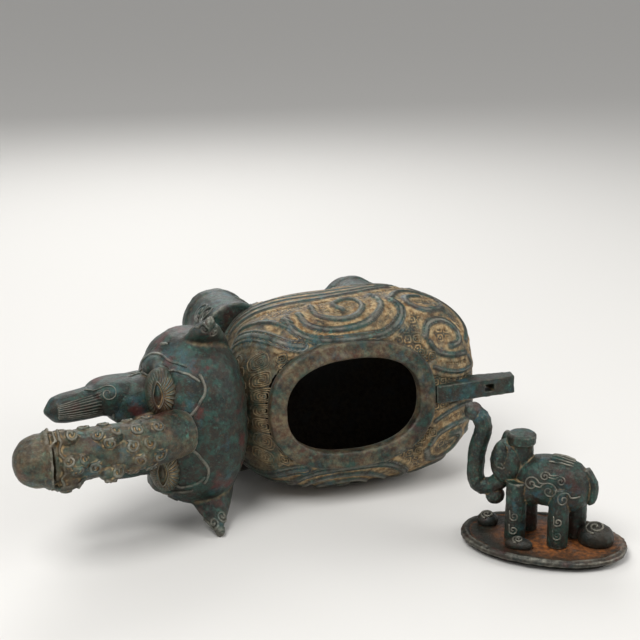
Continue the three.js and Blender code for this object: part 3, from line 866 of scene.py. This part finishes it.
def make_trunk():
    """Trunk cast as a small beast: collar, dished end, and curls all the way to the forehead."""
    nodes = ("trunk_tube", "trunk_crown", "trunk_brow_right", "trunk_brow_left",
             "trunk_knob_right", "trunk_knob_left", "trunk_muzzle")
    obj = fused("trunk_casting", nodes, VESSEL, 0.45, 3)
    surface = surface_of(obj)
    lines = []
    for row, lean in enumerate((-62, -20, 20, 62, 110, 160, -110)):
        for i in range(5):
            x = -152 + 10.5 * i + (row % 2) * 4
            way = 1 if (i + row) % 2 else -1
            turn = math.radians(lean)
            axis_z = 20 - 0.12 * (x + 120)
            place = (x, 16 * math.sin(turn), axis_z + 16 * math.cos(turn))
            lines.append(laid(surface, place, (1, 0, 0), curl(6.2, 1.35, way, 4.5)))
    for x in (-156.5, -154.0):
        ring = np.linspace(0, 2 * math.pi, 48)
        lines.append([(x, 15 * math.cos(t), 22 + 15 * math.sin(t)) for t in ring])
    threads = raised_lines("trunk_threads", lines, surface, 1.7, 1.1, sink=0.4)
    merge_into(obj, threads)
    apply_modifier(obj, "REMESH", mode="VOXEL", voxel_size=0.42)
    apply_modifier(obj, "SMOOTH", factor=0.5, iterations=2)
    roughen(obj, 0.2, 6, 8)
    mark_relief(obj, 12, 0.5)
    finish_piece(obj, VESSEL, "vessel", FINISHES["trunk"], nodes)


def make_legs():
    for end in ("front", "rear"):
        for word, side in (("right", 1), ("left", -1)):
            node = f"{end}_{word}_leg"
            obj = fused(f"{node}_casting", (node,), VESSEL, 0.7, 6)
            roughen(obj, 0.3, 10, 11)
            surface = surface_of(obj)
            centre, half = own_box(node, VESSEL)
            lines = []
            for x, y, size, way in ((-12, 10, 13, 1), (10, 13, 12, -1), (0, -16, 12, 1)):
                for height in (0.55, 0.1):
                    place = (centre[0] + x, centre[1] + side * y, centre[2] + half[2] * height)
                    lines.append(laid(surface, place, (0, 0, 1), curl(size, 2.1, way * side, 7)))
            threads = raised_lines("leg_threads", lines, surface, 1.3, 0.7, sink=0.3)
            merge_into(obj, threads)
            mark_relief(obj, 8, 0.6)
            finish_piece(obj, VESSEL, "vessel", FINISHES["leg"], (node,))


def make_tail():
    obj = fused("tail_casting", ("tail_bar",), VESSEL, 0.4, 5)
    roughen(obj, 0.2, 6, 12)
    mark_relief(obj, 8, 0.5)
    finish_piece(obj, VESSEL, "vessel", FINISHES["leg"], ("tail_bar",))


# Lid

def make_lid_plate():
    obj = fused("lid_plate_casting", ("lid_plate",), LID, 0.4, 3, swell=0.05)
    points = points_of(obj)
    centre, half = own_box("lid_plate", LID)
    reach = np.hypot(points[:, 0] / half[0], points[:, 1] / half[1])
    top = points[:, 2] > centre[2]
    lip = 0.9 * np.exp(-((reach - 0.95) / 0.035) ** 2) - 0.25 * (reach < 0.9)
    points[:, 2] += lip * top
    set_points(obj, points)
    roughen(obj, 0.3, 7, 21)
    mark_relief(obj, 8, 0.4)
    store(obj, "field", smooth_step((0.95 - reach + 0.25 * points[:, 0] / half[0]) / 0.6) * top)
    finish_piece(obj, LID, "lid", FINISHES["lid"], ("lid_plate",))
    flange = fused("lid_ring_casting", ("lid_flange",), LID, 0.4, 2, swell=0.0)
    mark_relief(flange, 4, 0.4)
    finish_piece(flange, LID, "lid", FINISHES["lid"], ("lid_flange",))


def make_knob():
    nodes = [n for n in frame["record"]["behaviour"]["bodies"]["lid"] if n.startswith("knob_")]
    obj = cast_copy("knob_elephant", nodes, LID, 0.35)
    body_centre, _ = own_box("knob_body", LID)
    trunk, trunk_half = own_box("knob_trunk", LID)
    tip = trunk + np.array((3.2 - trunk_half[0], 0, trunk_half[2] - 3.2))
    lumps = [
        swelling("haunch", body_centre + np.array((9, 0, -3)), (9, 10, 11), 2.3, (11,)),
        swelling("shoulder", body_centre + np.array((-9, 0, -3)), (8, 10, 10), 2.3, (11,)),
        swelling("flare", tip, (4.2, 5, 4.4), 2.2, (11,)),
    ]
    merge_into(obj, *lumps)
    apply_modifier(obj, "REMESH", mode="VOXEL", voxel_size=0.36)
    apply_modifier(obj, "SMOOTH", factor=0.5, iterations=4)
    roughen(obj, 0.18, 6, 31)
    surface = surface_of(obj)
    lines = []
    flank_curls = ((-9, 1, 8, 1), (1, -1, 9, -1), (11, -4, 8, 1), (7, 6, 5, -1), (-2, 7, 5, 1))
    for side in (-1, 1):
        for x, z, size, way in flank_curls:
            place = body_centre + np.array((x, side * 16, z))
            lines.append(laid(surface, place, (1, 0, 0), curl(size, 1.7, way * side, 4)))
        for z in (12, 19):
            for x in (-12, 9):
                place = (x, side * 14, z)
                lines.append(laid(surface, place, (0, 0, 1), curl(4.5, 1.4, side, 4)))
        lines.append([
            (-20.5 + 2.2 * math.cos(t), side * 12, 42.5 + 1.5 * math.sin(t))
            for t in np.linspace(0, 6.28, 18)
        ])
    for along in np.linspace(-6, 6, 5):
        lines.append([(x, along, 49) for x in np.linspace(2, 15, 16)])
    threads = raised_lines("knob_threads", lines, surface, 0.85, 0.5, sink=0.25)
    merge_into(obj, threads)
    mark_relief(obj, 8, 0.4)
    finish_piece(obj, LID, "lid", FINISHES["knob"], nodes)


def make_coils():
    for node in ("lid_rear_coil", "lid_front_coil", "lid_left_coil"):
        obj = fused(f"{node}_casting", (node,), LID, 0.3, 4)
        surface = surface_of(obj)
        centre, half = own_box(node, LID)
        size = 1.6 * min(half[0], half[1])
        lines = [laid(surface, centre + np.array((0, -3, 9)), (1, 0, 0), curl(size, 2, 1, 2))]
        threads = raised_lines("coil_thread", lines, surface, 1.1, 0.7, sink=0.3)
        merge_into(obj, threads)
        mark_relief(obj, 6, 0.4)
        finish_piece(obj, LID, "lid", FINISHES["lid"], (node,))


# Stage

def plain_material(name, colour, roughness):
    material = bpy.data.materials.new(name)
    material.use_nodes = True
    shader = material.node_tree.nodes["Principled BSDF"]
    shader.inputs["Base Color"].default_value = linear(colour)
    shader.inputs["Roughness"].default_value = roughness
    return material


def make_camera():
    mouth = VESSEL @ Vector((0, 0, 0))
    back = Vector((0, -math.cos(CAMERA_HEIGHT), math.sin(CAMERA_HEIGHT)))
    right = Vector((1, 0, 0))
    up = back.cross(right)
    focal = PHOTO_PIXELS / 2 / math.tan(FIELD_OF_VIEW / 2)
    across = (MOUTH_PIXEL[0] - PHOTO_PIXELS / 2) / focal * CAMERA_DISTANCE
    above = -(MOUTH_PIXEL[1] - PHOTO_PIXELS / 2) / focal * CAMERA_DISTANCE
    data = bpy.data.cameras.new("camera")
    data.lens = data.sensor_width / 2 / math.tan(FIELD_OF_VIEW / 2)
    data.clip_start = 0.01
    camera = bpy.data.objects.new("camera", data)
    camera.location = mouth - right * across - up * above + back * CAMERA_DISTANCE
    camera.rotation_euler = (-back).to_track_quat("-Z", "Y").to_euler()
    bpy.context.scene.collection.objects.link(camera)
    bpy.context.scene.camera = camera


def add_lamp(name, place, target, size, power):
    data = bpy.data.lights.new(name, "AREA")
    data.shape = "DISK"
    data.size = size
    data.energy = power
    lamp = bpy.data.objects.new(name, data)
    lamp.location = place
    lamp.rotation_euler = (Vector(target) - Vector(place)).to_track_quat("-Z", "Y").to_euler()
    bpy.context.scene.collection.objects.link(lamp)


def make_stage(settings):
    deselect()
    bpy.ops.mesh.primitive_plane_add(size=12)
    floor = bpy.context.object
    floor.name = "floor"
    floor.data.materials.append(plain_material("pale_floor", settings.floor_colour, 0.7))
    world = bpy.data.worlds.new("studio")
    world.use_nodes = True
    world.node_tree.nodes["Background"].inputs[0].default_value = linear(settings.backdrop_colour)
    world.node_tree.nodes["Background"].inputs[1].default_value = settings.sky_strength
    bpy.context.scene.world = world
    middle = (0, 0, 0.05)
    add_lamp("key_lamp", (-0.35, -0.55, 0.95), middle, 0.6, settings.key_power)
    add_lamp("side_lamp", (0.85, -0.15, 0.55), middle, 0.6, settings.side_power)
    add_lamp("back_lamp", (-0.2, 0.8, 0.7), middle, 0.7, settings.back_power)
    make_camera()
    bpy.context.scene.view_settings.view_transform = "Standard"


# Add-on

class BurnerSettings(bpy.types.PropertyGroup):
    floor_colour: bpy.props.StringProperty(
        name="Floor colour", description="Colour of the plain floor, as hex", default="#d8d6d2")
    backdrop_colour: bpy.props.StringProperty(
        name="Backdrop colour", description="Colour of the studio round the object, as hex",
        default="#e4e4e4")
    sky_strength: bpy.props.FloatProperty(
        name="Studio light", description="Strength of the even light from all round", default=0.55, min=0)
    key_power: bpy.props.FloatProperty(
        name="Key lamp", description="Power of the large lamp above and to the left", default=9.0,
        min=0, unit="POWER")
    side_power: bpy.props.FloatProperty(
        name="Side lamp", description="Power of the lamp on the right", default=4.0, min=0, unit="POWER")
    back_power: bpy.props.FloatProperty(
        name="Back lamp", description="Power of the lamp behind", default=5.0, min=0, unit="POWER")


class BURNER_OT_body(bpy.types.Operator):
    """Models the body shell, its relief and the rim round the mouth"""

    bl_idname = "burner.body"
    bl_label = "Body and rim"

    def execute(self, context):
        make_body()
        make_neck_threads()
        make_rim()
        return {"FINISHED"}


class BURNER_OT_head(bpy.types.Operator):
    """Models the head with its ears, eyes, tusks and trunk"""

    bl_idname = "burner.head"
    bl_label = "Head"

    def execute(self, context):
        make_head()
        make_trunk()
        for word, side in (("right", 1), ("left", -1)):
            make_eye(word, side)
            make_tusk(word, side)
        return {"FINISHED"}


class BURNER_OT_legs(bpy.types.Operator):
    """Models the four legs and the tail bar"""

    bl_idname = "burner.legs"
    bl_label = "Legs and tail"

    def execute(self, context):
        make_legs()
        make_tail()
        return {"FINISHED"}


class BURNER_OT_lid(bpy.types.Operator):
    """Models the lid with the little elephant on it"""

    bl_idname = "burner.lid"
    bl_label = "Lid"

    def execute(self, context):
        make_lid_plate()
        make_knob()
        make_coils()
        return {"FINISHED"}


class BURNER_OT_stage(bpy.types.Operator):
    """Sets the floor, the lamps and the camera"""

    bl_idname = "burner.stage"
    bl_label = "Stage"

    def execute(self, context):
        make_stage(context.scene.burner)
        return {"FINISHED"}


OPERATORS = (BURNER_OT_body, BURNER_OT_head, BURNER_OT_legs, BURNER_OT_lid, BURNER_OT_stage)


class BURNER_PT_panel(bpy.types.Panel):
    """Lists what the add-on can make"""

    bl_idname = "BURNER_PT_panel"
    bl_label = "Incense Burner"
    bl_space_type = "VIEW_3D"
    bl_region_type = "UI"
    bl_category = "Burner"

    def draw(self, context):
        for operator in OPERATORS:
            self.layout.operator(operator.bl_idname)
        for name in BurnerSettings.__annotations__:
            self.layout.prop(context.scene.burner, name)


CLASSES = (BurnerSettings, *OPERATORS, BURNER_PT_panel)


def register():
    for each in CLASSES:
        bpy.utils.register_class(each)
    bpy.types.Scene.burner = bpy.props.PointerProperty(type=BurnerSettings)


def unregister():
    del bpy.types.Scene.burner
    for each in reversed(CLASSES):
        bpy.utils.unregister_class(each)


def main():
    register()
    make_finishes()
    bpy.ops.burner.body()
    bpy.ops.burner.head()
    bpy.ops.burner.legs()
    bpy.ops.burner.lid()
    bpy.ops.burner.stage()


if __name__ == "__main__":
    main()
